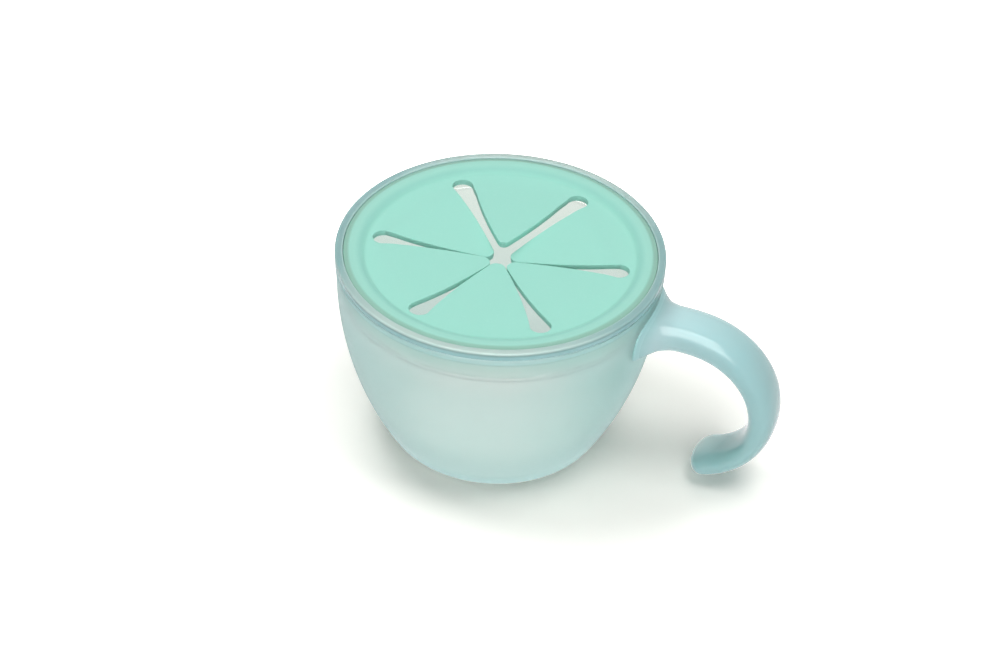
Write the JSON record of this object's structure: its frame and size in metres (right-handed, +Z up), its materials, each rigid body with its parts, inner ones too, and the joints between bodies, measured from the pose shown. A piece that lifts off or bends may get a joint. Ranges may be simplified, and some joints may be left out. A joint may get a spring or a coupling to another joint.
{
  "type": "toddler snack container",
  "caption": "Round translucent snack bowl with an open hook handle and a lid ring whose soft disc is slit into flaps for a small hand.",
  "frame": {"origin": "centre of the bowl's flat base, on the surface it stands on", "axes": "+Z up along the bowl's axis, +X from the axis towards the hook handle"},
  "size_m": [0.1398, 0.1, 0.067],
  "materials": {
    "bowl_plastic": "frosted, lets light through",
    "handle_plastic": "satin gloss",
    "lid_plastic": "clear with a milky tint, satin gloss",
    "soft_disc": "soft matt"
  },
  "bodies": {
    "bowl": {"cup_bowl": "bowl_plastic", "hook_handle": "handle_plastic"},
    "lid": {"lid_ring": "lid_plastic", "insert_rim": "soft_disc"},
    "flap_1": {"flap_1": "soft_disc"},
    "flap_2": {"flap_2": "soft_disc"},
    "flap_3": {"flap_3": "soft_disc"},
    "flap_4": {"flap_4": "soft_disc"},
    "flap_5": {"flap_5": "soft_disc"},
    "flap_6": {"flap_6": "soft_disc"}
  },
  "joints": [
    {"name": "lid_lift", "type": "slide", "parent": "bowl", "child": "lid", "axis": [0, 0, 1], "range_m": [0, 0.03]},
    {"name": "flap_1_bend", "type": "hinge", "parent": "lid", "child": "flap_1", "pos_m": [0.02494, 0.019, 0.06445], "axis": [-0.606, 0.7955, 0], "range_deg": [-70, 45], "stiffness_Nm_per_rad": 0.02},
    {"name": "flap_2_bend", "type": "hinge", "parent": "lid", "child": "flap_2", "pos_m": [-0.00398, 0.0311, 0.06445], "axis": [-0.9919, -0.1271, 0], "range_deg": [-70, 45], "stiffness_Nm_per_rad": 0.02},
    {"name": "flap_3_bend", "type": "hinge", "parent": "lid", "child": "flap_3", "pos_m": [-0.02892, 0.0121, 0.06445], "axis": [-0.3859, -0.9225, 0], "range_deg": [-70, 45], "stiffness_Nm_per_rad": 0.02},
    {"name": "flap_4_bend", "type": "hinge", "parent": "lid", "child": "flap_4", "pos_m": [-0.02494, -0.019, 0.06445], "axis": [0.606, -0.7955, 0], "range_deg": [-70, 45], "stiffness_Nm_per_rad": 0.02},
    {"name": "flap_5_bend", "type": "hinge", "parent": "lid", "child": "flap_5", "pos_m": [0.00398, -0.0311, 0.06445], "axis": [0.9919, 0.1271, 0], "range_deg": [-70, 45], "stiffness_Nm_per_rad": 0.02},
    {"name": "flap_6_bend", "type": "hinge", "parent": "lid", "child": "flap_6", "pos_m": [0.02892, -0.0121, 0.06445], "axis": [0.3859, 0.9225, 0], "range_deg": [-70, 45], "stiffness_Nm_per_rad": 0.02}
  ]
}
